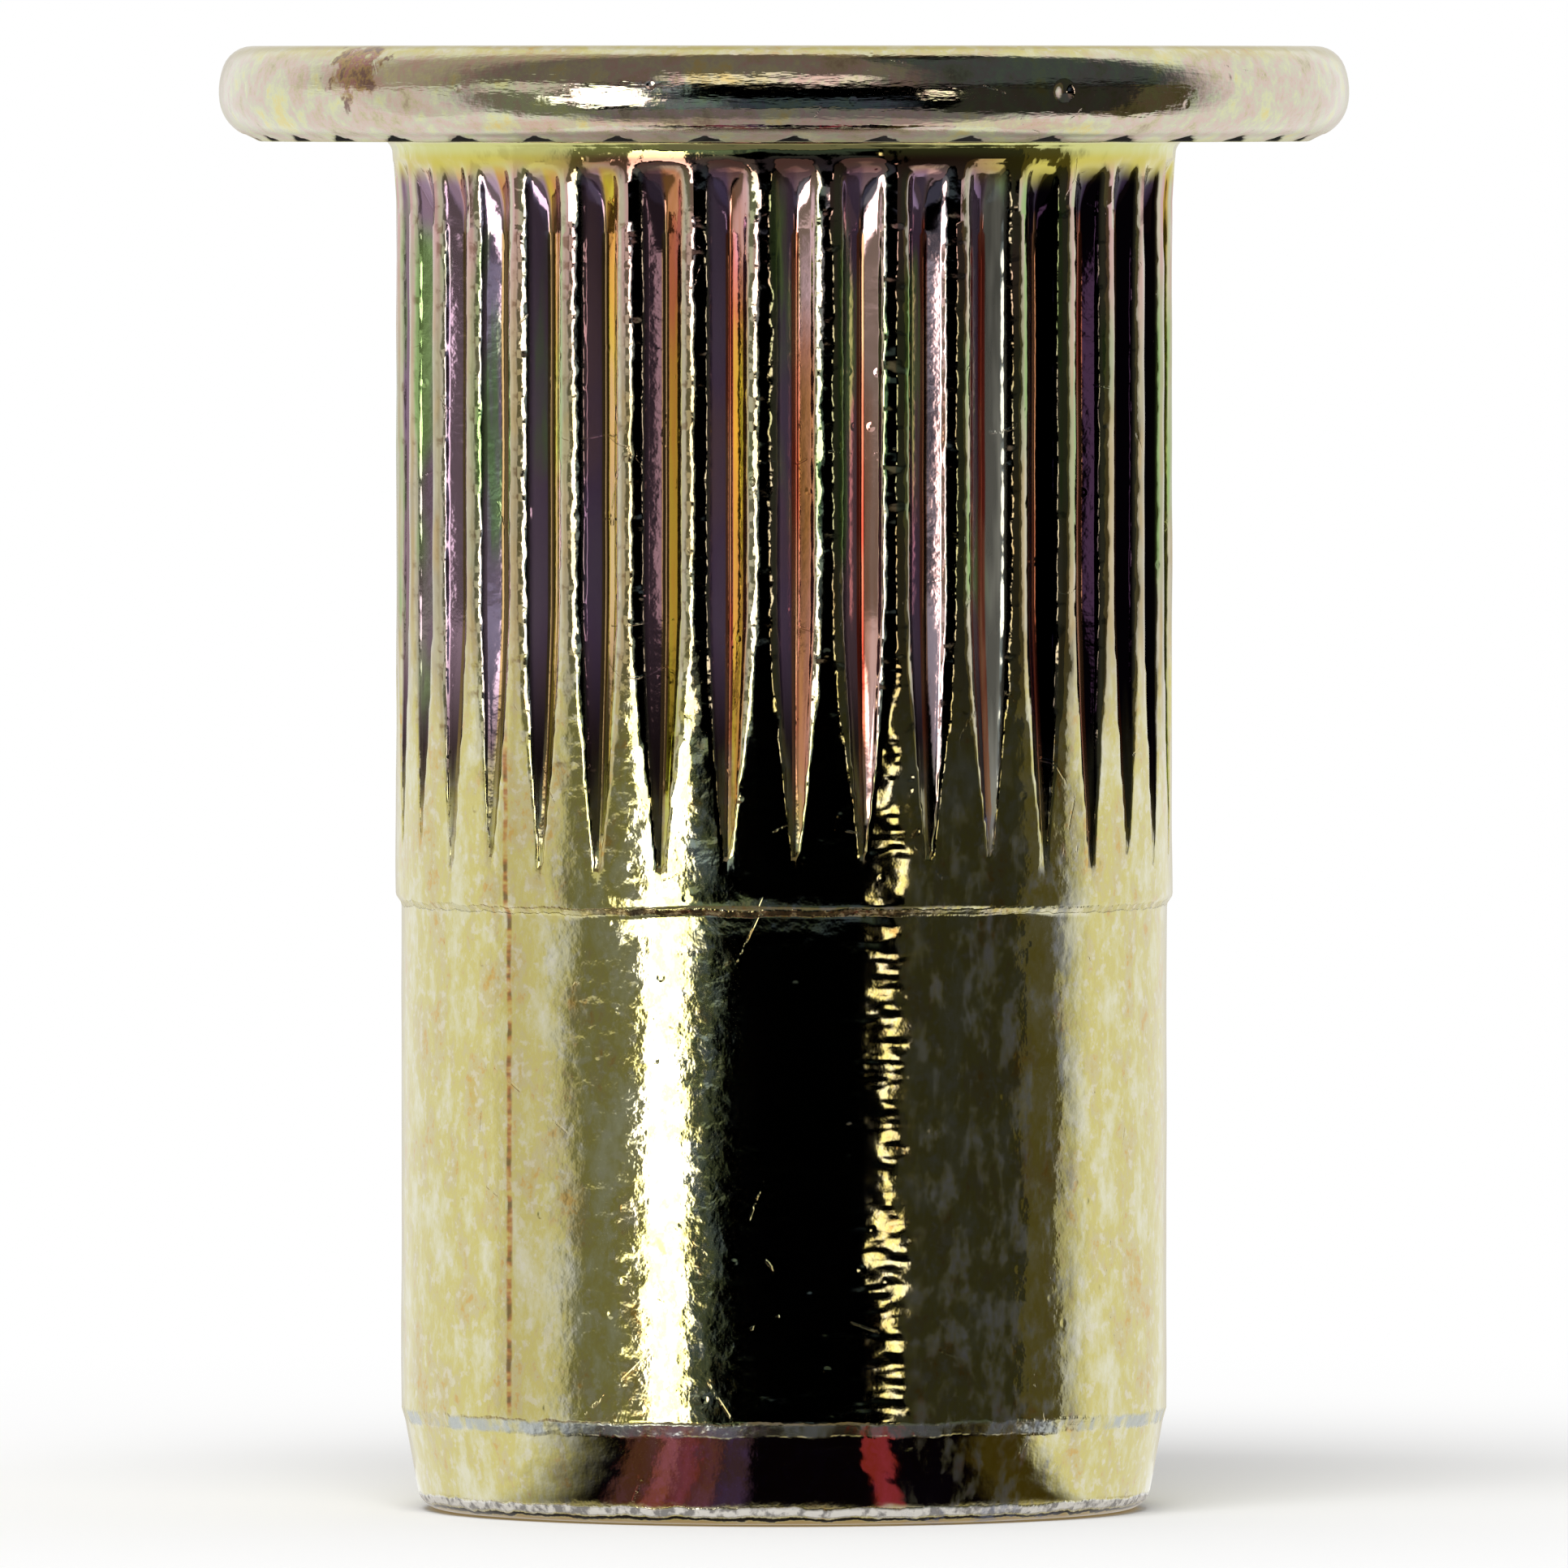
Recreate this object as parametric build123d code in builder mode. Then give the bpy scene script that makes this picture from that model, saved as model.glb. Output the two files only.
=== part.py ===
from build123d import *
from math import atan2, degrees, radians, sin, tan
import os

# M8 rivet nut: one turned and cold-formed piece of steel, open at both ends, with a wide
# flat flange, a knurled sleeve that collapses when it is set, and a threaded shank below.
# Millimetres. The foot stands on Z = 0, the flange is on top and the front faces -Y.

# Overall sizes
length = 20.7
flange_diameter = 16.0
flange_thickness = 1.35

# Flange rim: a small round above, and a larger one below that runs into a bevel at the seat
rim_top_round = 0.48
rim_lower_round = 0.65
seat_bevel_height = 0.11
seat_bevel_width = 0.22

# Serrations pressed into the seat, which stop the nut from turning in the sheet
serration_count = 38
serration_phase = 5.737
serration_width = 0.6
serration_depth = 0.09
serration_start_diameter = 12.1

# Neck between the seat and the knurl
neck_diameter = 11.1
neck_length = 0.85
neck_flare = 0.13

# Knurled sleeve: grooves along the axis, which run out to a point below and end in a ramp above
knurl_diameter = 11.0
groove_count = 36
groove_phase = 1.7
groove_angle = 104
groove_depth = 0.225
groove_root_width = 0.09
groove_bottom = 9.4
groove_full_bottom = 12.4
groove_full_top = 18.25
groove_top = 19.07

# Plain shank, parted from the sleeve by a shallow step, and the tapered lead at the foot
shank_diameter = 10.84
shank_top = 8.55
shank_step_height = 0.12
lead_diameter = 10.74
lead_top = 1.25
lead_step_height = 0.17
lead_taper = 10.3
foot_round = 0.32

# Inside: a wide chamber under the flange, a cone, and the hole that holds the M8 thread
chamber_diameter = 9.0
chamber_floor = 9.4
chamber_mouth_chamfer = 0.25
cone_angle = 120
thread_core_diameter = 6.8
thread_mouth_diameter = 8.3

# Sizes worked out from the ones above
seat_height = length - flange_thickness
flange_radius = flange_diameter / 2
knurl_radius = knurl_diameter / 2
neck_radius = neck_diameter / 2
shank_radius = shank_diameter / 2
chamber_radius = chamber_diameter / 2
core_radius = thread_core_diameter / 2
mouth_radius = thread_mouth_diameter / 2
cone_depth = (chamber_radius - core_radius) / tan(radians(cone_angle / 2))

# The rim's lower round starts along the bevel's slope and turns upright at the flange's edge
seat_bevel_slope = degrees(atan2(seat_bevel_height, seat_bevel_width))
bevel_top_radius = flange_radius - rim_lower_round * (1 - sin(radians(seat_bevel_slope)))
seat_radius = bevel_top_radius - seat_bevel_width

# The foot's round turns from the flat foot to the lead's taper, so the flat ends this far in
foot_corner_radius = lead_diameter / 2 - lead_top * tan(radians(lead_taper))
foot_face_radius = foot_corner_radius - foot_round * tan(radians((90 - lead_taper) / 2))

# One groove's cutter, drawn on +X. Its lower end carries the same section outwards on a slope
# until it has left the metal. Its upper end is cut off by a ramp that rises to the neck.
cutter_margin = 0.3
run_out_overlap = 1.2
ramp_overlap = 0.1
root_radius = knurl_radius - groove_depth
half_root = groove_root_width / 2
opening_radius = knurl_radius + cutter_margin
half_opening = half_root + (opening_radius - root_radius) * tan(radians(groove_angle / 2))
lower_run_out = Vector(groove_depth, 0, groove_bottom - groove_full_bottom) * run_out_overlap
ramp_rise = groove_top - groove_full_top
ramp_depth = neck_radius - root_radius
ramp = Plane(origin=(root_radius, 0, groove_full_top), z_dir=(ramp_rise, 0, -ramp_depth))

with BuildPart() as groove_cutter:
    with BuildSketch(Plane.XY.offset(groove_full_bottom)) as low_section:
        Polygon(
            (root_radius, -half_root),
            (opening_radius, -half_opening),
            (opening_radius, half_opening),
            (root_radius, half_root),
            align=None,
        )
    extrude(amount=groove_top + ramp_overlap - groove_full_bottom)
    split(bisect_by=ramp, keep=Keep.TOP)
    extrude(low_section.sketch, amount=lower_run_out.length, dir=lower_run_out)

# One serration's cutter, drawn on +X: a flat V that runs out through the seat's bevel
serration_start = serration_start_diameter / 2

with BuildPart() as serration_cutter:
    with BuildSketch(Plane.YZ.offset(serration_start)):
        Polygon(
            (0, seat_height + serration_depth),
            (-serration_width, seat_height - serration_depth),
            (serration_width, seat_height - serration_depth),
            align=None,
        )
    extrude(amount=flange_radius - serration_start)

with BuildPart() as rivet_nut:
    with BuildSketch(Plane.XZ):
        with BuildLine():
            # Foot, with its round
            Line((mouth_radius, 0), (foot_face_radius, 0))
            foot_corner = JernArc((foot_face_radius, 0), (1, 0), foot_round, 90 - lead_taper)
            # Outside, from the lead up past the shank, sleeve and neck to the seat's bevel
            outside = Polyline(
                foot_corner @ 1,
                (lead_diameter / 2, lead_top),
                (shank_radius, lead_top + lead_step_height),
                (shank_radius, shank_top),
                (knurl_radius, shank_top + shank_step_height),
                (knurl_radius, seat_height - neck_length),
                (neck_radius, seat_height - neck_flare),
                (neck_radius + neck_flare, seat_height),
                (seat_radius, seat_height),
                (bevel_top_radius, seat_height + seat_bevel_height),
            )
            # Rim of the flange
            bevel_direction = (seat_bevel_width, seat_bevel_height)
            lower_round = JernArc(outside @ 1, bevel_direction, rim_lower_round, 90 - seat_bevel_slope)
            rim = Line(lower_round @ 1, (flange_radius, length - rim_top_round))
            upper_round = JernArc(rim @ 1, (0, 1), rim_top_round, 90)
            # Top face, chamber, cone, thread hole and its entry
            Polyline(
                upper_round @ 1,
                (chamber_radius + chamber_mouth_chamfer, length),
                (chamber_radius, length - chamber_mouth_chamfer),
                (chamber_radius, chamber_floor),
                (core_radius, chamber_floor - cone_depth),
                (core_radius, mouth_radius - core_radius),
                (mouth_radius, 0),
            )
        make_face()
    revolve(axis=Axis.Z)
    with PolarLocations(0, groove_count, start_angle=groove_phase):
        add(groove_cutter.part, mode=Mode.SUBTRACT)
    with PolarLocations(0, serration_count, start_angle=serration_phase):
        add(serration_cutter.part, mode=Mode.SUBTRACT)

rivet_nut.part.label = "rivet_nut"
os.makedirs("parts", exist_ok=True)
export_step(rivet_nut.part, "parts/rivet_nut.step")
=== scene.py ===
from math import atan, radians, tan

import bpy
import numpy as np
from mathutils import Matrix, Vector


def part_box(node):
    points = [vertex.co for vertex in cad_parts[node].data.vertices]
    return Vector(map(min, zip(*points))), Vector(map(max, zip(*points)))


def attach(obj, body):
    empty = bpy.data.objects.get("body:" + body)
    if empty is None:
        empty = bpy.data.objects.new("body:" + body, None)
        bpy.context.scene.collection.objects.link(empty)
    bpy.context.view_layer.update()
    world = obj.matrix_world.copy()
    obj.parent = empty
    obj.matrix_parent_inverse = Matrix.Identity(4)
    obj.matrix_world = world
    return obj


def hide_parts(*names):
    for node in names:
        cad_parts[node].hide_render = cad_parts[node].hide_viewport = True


# An M8 rivet nut in yellow zinc-plated steel, standing on its foot with its front towards -Y.
# Sizes are in millimetres and heights are measured from the foot. Blender works in metres, so
# they are scaled where a mesh or an object is made.
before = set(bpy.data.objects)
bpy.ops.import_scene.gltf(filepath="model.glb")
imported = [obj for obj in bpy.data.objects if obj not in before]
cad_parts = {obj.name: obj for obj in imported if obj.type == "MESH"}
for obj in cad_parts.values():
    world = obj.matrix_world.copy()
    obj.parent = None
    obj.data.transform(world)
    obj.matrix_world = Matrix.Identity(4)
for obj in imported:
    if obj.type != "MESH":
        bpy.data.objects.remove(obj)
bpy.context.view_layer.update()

MM = 0.001
high_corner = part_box("rivet_nut")[1]
length = high_corner.z / MM
flange_radius = high_corner.x / MM

# Flange and seat. The rim's edge is crowned between its two rounds, from rim_crown_low degrees
# below level to rim_crown_high degrees above.
flange_thickness = 1.35
rim_lower_round = 0.65
crown_lower_round = 0.60
crown_upper_round = 0.44
rim_crown_low = 8
rim_crown_high = 20
seat_bevel_height = 0.11
seat_bevel_width = 0.22
seat_height = length - flange_thickness
seat_start = 5.98
serration_count = 38
serration_phase = radians(5.737)
serration_half_width = 0.3
serration_depth = 0.09
serration_start = 6.05

# Neck, knurled sleeve, shank and lead
neck_radius = 5.55
neck_length = 0.85
neck_flare = 0.13
neck_flare_round = 1.4 * neck_flare
knurl_radius = 5.5
shank_radius = 5.42
shank_top = 8.55
shank_step_height = 0.12
lead_radius = 5.37
lead_top = 1.25
lead_step_height = 0.17
lead_taper = radians(10.3)
foot_round = 0.32

# Knurl grooves. A shoulder is the share of a groove's depth over which its edge is rounded,
# and the crown is how far each crest falls away towards its sides.
groove_count = 36
groove_phase = radians(1.7)
groove_depth = 0.225
groove_root_round = 0.02
groove_wall_angle = radians(37.3)
groove_shoulder = 0.26
groove_end_shoulder = 0.6
sharpest_shoulder = 0.003
crest_crown = 0.014
crest_share = 0.43
groove_end_bottom = 17.3
groove_ramp_edge = 0.05
groove_bottom = 9.4
groove_full_bottom = 12.9
groove_full_top = 18.1
groove_top = 19.1
run_out_curve = 1.35
tip_crowding = 1.1
tip_crowding_start = 8.7

# Inside
chamber_radius = 4.5
chamber_floor = 9.4
chamber_mouth_chamfer = 0.25
core_radius = 3.4
cone_half_angle = radians(60)
mouth_radius = 4.15
thread_pitch = 1.25
thread_major_radius = 4.0
thread_flank_gain = 1.25
thread_root_flat = 0.1
thread_fade_start = 0.3
thread_fade_length = 0.8
thread_rows = 72
bore_columns = 144
cone_bottom = chamber_floor - (chamber_radius - core_radius) / tan(cone_half_angle)

# How far turning and rolling left the skin and the two steps away from true
skin_unevenness = 0.004
shank_step_wander = 0.05
lead_step_wander = 0.025
near_step = 0.2
sharp_angle = radians(35)

rng = np.random.default_rng(8)


def arc(center, radius, start, end, count):
    """Points (r, z) on an arc of a half-section, with angles in degrees from the +r direction."""
    angles = np.radians(np.linspace(start, end, count))
    return [(center[0] + radius * np.cos(a), center[1] + radius * np.sin(a)) for a in angles]


def along(start, end, shares):
    """Points (r, z) at the given shares of the way from start to end."""
    return [(start[0] + s * (end[0] - start[0]), start[1] + s * (end[1] - start[1])) for s in shares]


def rows_between(bottom, top, count, radius):
    """Points (r, z) going up a wall, without the last one."""
    return [(radius, z) for z in np.linspace(bottom, top, count, endpoint=False)]


def spread(count, offsets, phase):
    """Column angles: the same offsets, in pitches, around each of count evenly spaced centres."""
    pitch = 2 * np.pi / count
    angles = phase + pitch * (np.arange(count)[:, None] + np.array(offsets)[None, :])
    return angles.ravel()


def symmetric(half):
    """Offsets from -0.5 up to just under 0.5 that mirror the given positive ones."""
    return [-0.5] + [-x for x in reversed(half)] + [0.0] + list(half)


def waves(angle, height, count, period, seed):
    """Smooth seeded unevenness over a turned surface, about -1 to 1."""
    source = np.random.default_rng(seed)
    total = np.zeros(np.broadcast(angle, height).shape)
    for _ in range(count):
        turns = source.integers(1, int(2 * np.pi * knurl_radius / period) + 1)
        rise = source.uniform(-1, 1) * 2 * np.pi / period
        total = total + np.sin(turns * angle + rise * height + source.uniform(0, 2 * np.pi))
    return total / np.sqrt(count)


def show(name, data):
    """An object in the scene that holds this mesh, lamp or camera."""
    shown = bpy.data.objects.new(name, data)
    bpy.context.scene.collection.objects.link(shown)
    return shown


# ---------------------------------------------------------------- mesh made of rings

groove_offsets = symmetric([0.02, 0.055, 0.205, 0.25, 0.285, 0.32, 0.36, 0.425])
serration_offsets = symmetric([0.06, 0.12, 0.18, 0.24, 0.3, 0.38])
rim_angles = spread(serration_count, serration_offsets, serration_phase)
bore_angles = spread(1, np.linspace(0, 1, bore_columns, endpoint=False), 0)

groove_number = np.repeat(np.arange(groove_count), len(groove_offsets))
groove_pitch = 2 * np.pi / groove_count
groove_centers = groove_phase + groove_number * groove_pitch
groove_shares = np.tile(groove_offsets, groove_count)

# No two grooves are quite alike: their ends and depths vary a little
lower_tip = groove_bottom + rng.uniform(-0.3, 0.25, groove_count)[groove_number]
upper_tip = groove_top + rng.uniform(-0.06, 0.04, groove_count)[groove_number]
full_depth = groove_depth * rng.uniform(0.93, 1.04, groove_count)[groove_number]


def smooth_step(value, start, end):
    share = np.clip((value - start) / (end - start), 0, 1)
    return share * share * (3 - 2 * share)


def rounded_floor(value, soft):
    """The value where it is positive and 0 below, with the corner rounded within soft of it."""
    share = np.clip(value / soft, -1, 1)
    return np.where(value > soft, value, soft * (share + 1) ** 2 / 4)


def groove_turns(z):
    """The columns' angles from their groove's middle. They crowd together towards a lower tip."""
    crowding = smooth_step(z, tip_crowding_start, groove_bottom)
    crowding = crowding * (1 - smooth_step(z, groove_bottom, groove_full_bottom))
    power = 1 + tip_crowding * crowding
    return np.sign(groove_shares) * 0.5 * (2 * np.abs(groove_shares)) ** power * groove_pitch


def groove_cut(turns, z):
    """How far each column lies below the crests at height z, and that as a share of its groove."""
    run_out = np.clip((z - lower_tip) / (groove_full_bottom - lower_tip), 0, 1)
    rise = 1 - (1 - run_out) ** run_out_curve
    depth = full_depth * rise
    roundness = smooth_step(z, groove_end_bottom, groove_top)
    shoulder = groove_shoulder + roundness * (groove_end_shoulder - groove_shoulder)
    soft = depth * shoulder + sharpest_shoulder

    def section(turn):
        rounding = groove_root_round / knurl_radius
        across = np.hypot(np.sin(turn), rounding) - rounding
        spread_out = 1 / (np.cos(turn) - tan(groove_wall_angle) * across)
        wall = (knurl_radius - depth) * (spread_out - 1)
        return rounded_floor(depth - wall, soft)

    # The section is set to 0 on the crests and to the full depth at its root
    on_crest = section(groove_pitch / 2)
    cut = (section(turns) - on_crest) * depth / np.maximum(section(0) - on_crest, 1e-6)

    # A ramp ends the groove at the top, and meets the section in a rounded edge
    climb = np.clip((z - groove_full_top) / (upper_tip - groove_full_top), 0, 1)
    ramp = full_depth * (1 - climb ** 2) * np.where(z < groove_full_top, 2, 1)
    shallower = (cut + ramp - np.hypot(cut - ramp, groove_ramp_edge) + groove_ramp_edge) / 2
    cut = shallower * (cut > 0) * (climb < 1)

    share = cut / np.maximum(depth, 0.2 * groove_depth)
    from_crest = np.clip((1 - 2 * np.abs(turns) / groove_pitch) / crest_share, 0, 1)
    crown = crest_crown * from_crest ** 2 * rise * (1 - climb ** 2)
    return cut + crown, share


def body_profile():
    """The outside's half-section (r, z) from the foot to where the neck meets the seat."""
    corner_radius = lead_radius - lead_top * tan(lead_taper)
    face_radius = corner_radius - foot_round * tan((np.pi / 2 - lead_taper) / 2)
    points = [(face_radius - 0.03, 0.0)]
    points += arc((face_radius, foot_round), foot_round, -90, -np.degrees(lead_taper), 9)

    # Lead, its step and the shank
    lead_edge = (lead_radius, lead_top)
    lead_step_top = (shank_radius, lead_top + lead_step_height)
    points += along(points[-1], lead_edge, (0.15, 0.4, 0.7, 0.93))
    points += along(lead_edge, lead_step_top, (0.0, 0.15, 0.4, 0.65, 0.9, 1.0))
    points += rows_between(lead_step_top[1] + 0.06, shank_top - 0.05, 12, shank_radius)
    points.append((shank_radius, shank_top - 0.04))

    # Step up to the sleeve, with close rows where the grooves run out and where they end
    sleeve_bottom = (knurl_radius, shank_top + shank_step_height)
    run_out_bottom = groove_bottom - 0.3
    ramp_bottom = groove_full_top - 0.05
    points += along((shank_radius, shank_top), sleeve_bottom, (0.1, 0.5, 0.9))
    points += rows_between(sleeve_bottom[1] + 0.03, run_out_bottom, 2, knurl_radius)
    points += rows_between(run_out_bottom, groove_full_bottom, 22, knurl_radius)
    points += rows_between(groove_full_bottom, ramp_bottom, 12, knurl_radius)

    # Neck and its flare
    neck_start = seat_height - neck_length
    flare_start = seat_height - neck_flare
    for z in np.linspace(ramp_bottom, flare_start, 24):
        share = np.clip((z - neck_start) / (flare_start - neck_start), 0, 1)
        points.append((knurl_radius + share * (neck_radius - knurl_radius), z))
    flare_radius = neck_radius + neck_flare_round
    points += arc((flare_radius, flare_start - 0.02), neck_flare_round, 160, 100, 5)
    points.append((flare_radius + 0.03, seat_height))
    return points


def rim_profile():
    """The flange's half-section (r, z) from the seat, round the rim, to its top face."""
    slope = atan(seat_bevel_height / seat_bevel_width)
    bevel_top = flange_radius - rim_lower_round * (1 - np.sin(slope))
    bevel_top_height = seat_height + seat_bevel_height
    seat_edge = bevel_top - seat_bevel_width
    seat_radii = [seat_start, serration_start, serration_start + 0.12]
    seat_radii += list(np.linspace(6.6, seat_edge - 0.02, 3))
    points = [(r, seat_height) for r in seat_radii]
    points += along((seat_edge, seat_height), (bevel_top, bevel_top_height), (0.1, 0.5, 0.9))

    # The edge bulges a little between its two rounds, so it is three arcs that meet in line
    low_turn = radians(rim_crown_low)
    high_turn = radians(rim_crown_high)
    lower_rise = crown_lower_round * (np.cos(slope) - np.sin(low_turn))
    upper_rise = crown_upper_round * (1 - np.sin(high_turn))
    crown_rise = length - bevel_top_height - lower_rise - upper_rise
    crown_round = crown_rise / (np.sin(low_turn) + np.sin(high_turn))
    crown_bottom = bevel_top_height + lower_rise
    crown_center = (flange_radius - crown_round, crown_bottom + crown_round * np.sin(low_turn))
    inwards = crown_round - crown_lower_round
    lower_center = (crown_center[0] + inwards * np.cos(low_turn),
                    crown_center[1] - inwards * np.sin(low_turn))
    inwards = crown_round - crown_upper_round
    upper_center = (crown_center[0] + inwards * np.cos(high_turn),
                    crown_center[1] + inwards * np.sin(high_turn))
    points += arc(lower_center, crown_lower_round, -90 + np.degrees(slope), -rim_crown_low, 8)
    points += arc(crown_center, crown_round, -rim_crown_low, rim_crown_high, 6)[1:]
    points += arc(upper_center, crown_upper_round, rim_crown_high, 90, 7)[1:]
    points.append((upper_center[0] - 0.04, length))
    return points


def bore_profile():
    """The inside's half-section (r, z) from the top face down to the thread's entry."""
    mouth = chamber_radius + chamber_mouth_chamfer
    mouth_bottom = length - chamber_mouth_chamfer
    points = [(mouth + 0.04, length), (mouth, length), (chamber_radius, mouth_bottom)]
    for z in (mouth_bottom - 0.05, 16.0, 12.0, chamber_floor + 0.05, chamber_floor):
        points.append((chamber_radius, z))
    points.append((core_radius + 0.03, cone_bottom + 0.02))
    for z in np.linspace(cone_bottom, mouth_radius - core_radius, thread_rows):
        points.append((core_radius, z))
    return points


def thread_cut(angle, z):
    """How deep the right-hand M8 thread is cut into the bore wall. It fades out under the cone."""
    phase = (z / thread_pitch - angle / (2 * np.pi)) % 1
    from_crest = (0.5 - np.abs(phase - 0.5)) / 0.5
    flank = np.clip(from_crest * thread_flank_gain - thread_root_flat, 0, 1)
    fade = np.clip((cone_bottom - thread_fade_start - z) / thread_fade_length, 0, 1)
    return (thread_major_radius - core_radius) * flank * fade


class RingMesh:
    """A closed skin built ring by ring, always with the outside on the same hand."""

    def __init__(self):
        self.coordinates = []
        self.polygons = []
        self.marks = {"groove": [], "side": [], "notch": []}
        self.total = 0
        self.last = None

    def ring(self, angles, radius, z, **marks):
        """Adds the next ring, with any marks that the material reads, and joins it to the last."""
        count = len(angles)
        radius = np.broadcast_to(radius, count)
        z = np.broadcast_to(z, count)
        self.coordinates.append(np.column_stack([radius * np.cos(angles), radius * np.sin(angles), z]))
        for name, values in self.marks.items():
            values.append(np.broadcast_to(marks.get(name, 0.0), count).astype(float))
        indices = np.arange(self.total, self.total + count)
        self.total += count
        self.join(indices, angles)

    def join(self, indices, angles):
        """Fills the band between the last ring and this one."""
        if self.last is not None:
            before, before_angles = self.last
            if len(before) == len(indices):
                following = np.roll(before, -1)
                quads = np.column_stack([before, following, np.roll(indices, -1), indices])
                self.polygons.extend(quads.tolist())
            else:
                self.stitch(before, before_angles, indices, angles)
        self.last = (indices, angles)

    def stitch(self, first, first_angles, second, second_angles):
        """Fills the flat band between two rings that have different numbers of points."""
        turn = 2 * np.pi
        first_order = np.argsort(first_angles % turn)
        second_order = np.argsort(second_angles % turn)
        a = first[first_order].tolist()
        b = second[second_order].tolist()
        a_angle = np.append(first_angles[first_order] % turn, (first_angles % turn).min() + turn)
        b_angle = np.append(second_angles[second_order] % turn, (second_angles % turn).min() + turn)
        i = 0
        j = 0
        while i < len(a) or j < len(b):
            step_first = j == len(b) or (i < len(a) and a_angle[i + 1] <= b_angle[j + 1])
            here_a = a[i % len(a)]
            here_b = b[j % len(b)]
            if step_first:
                self.polygons.append([here_a, a[(i + 1) % len(a)], here_b])
                i += 1
            else:
                self.polygons.append([here_a, b[(j + 1) % len(b)], here_b])
                j += 1


def add_body(skin):
    for number, (radius, z) in enumerate(body_profile()):
        turns = groove_turns(z)
        angles = groove_centers + turns
        cut, share = groove_cut(turns, z)
        uneven = skin_unevenness * waves(angles, z, count=10, period=1.4, seed=5)
        if number < 2 or z > seat_height - neck_flare:
            uneven = 0
        height = z
        if abs(z - shank_top) < near_step:
            height = z + shank_step_wander * waves(angles, 0, count=6, period=3.0, seed=3)
        if abs(z - (lead_top + lead_step_height / 2)) < near_step:
            height = z + lead_step_wander * waves(angles, 0, count=8, period=1.6, seed=11)
        side = np.clip(turns * knurl_radius / 0.1, -1, 1)
        skin.ring(angles, radius - cut + uneven, height, groove=share, side=side)


def add_rim(skin):
    """The flange. Each serration is a flat V pressed up into the seat."""
    pitch = 2 * np.pi / serration_count
    from_center = np.abs((rim_angles - serration_phase + pitch / 2) % pitch - pitch / 2)
    for radius, z in rim_profile():
        raised = np.zeros(len(rim_angles))
        if radius > serration_start + 0.01 and z < seat_height + 0.4:
            fall = from_center * radius / serration_half_width
            raised = np.maximum(seat_height + serration_depth * (1 - fall) - z, 0)
        skin.ring(rim_angles, radius, z + raised, notch=raised / serration_depth)


def add_bore(skin):
    for radius, z in bore_profile():
        skin.ring(bore_angles, radius + thread_cut(bore_angles, z), z)


def build_rivet_nut():
    skin = RingMesh()
    skin.ring(bore_angles, mouth_radius, 0.0)
    skin.ring(bore_angles, mouth_radius + 0.03, 0.0)
    add_body(skin)
    add_rim(skin)
    add_bore(skin)
    skin.join(np.arange(len(bore_angles)), bore_angles)

    coordinates = np.concatenate(skin.coordinates) * MM
    mesh = bpy.data.meshes.new("rivet_nut_skin")
    mesh.from_pydata(coordinates.tolist(), [], skin.polygons)
    for name, values in skin.marks.items():
        attribute = mesh.attributes.new(name, "FLOAT", "POINT")
        attribute.data.foreach_set("value", np.concatenate(values))
    mesh.validate()
    mesh.shade_smooth()
    mesh.set_sharp_from_angle(angle=sharp_angle)
    return show("plated_rivet_nut", mesh)


# ---------------------------------------------------------------- materials


def linear(color):
    """A display colour given as 0 to 255, in the linear values that shaders use."""
    channels = np.array(color) / 255
    lifted = ((channels + 0.055) / 1.055) ** 2.4
    return tuple(np.where(channels > 0.04045, lifted, channels / 12.92).tolist())


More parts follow.
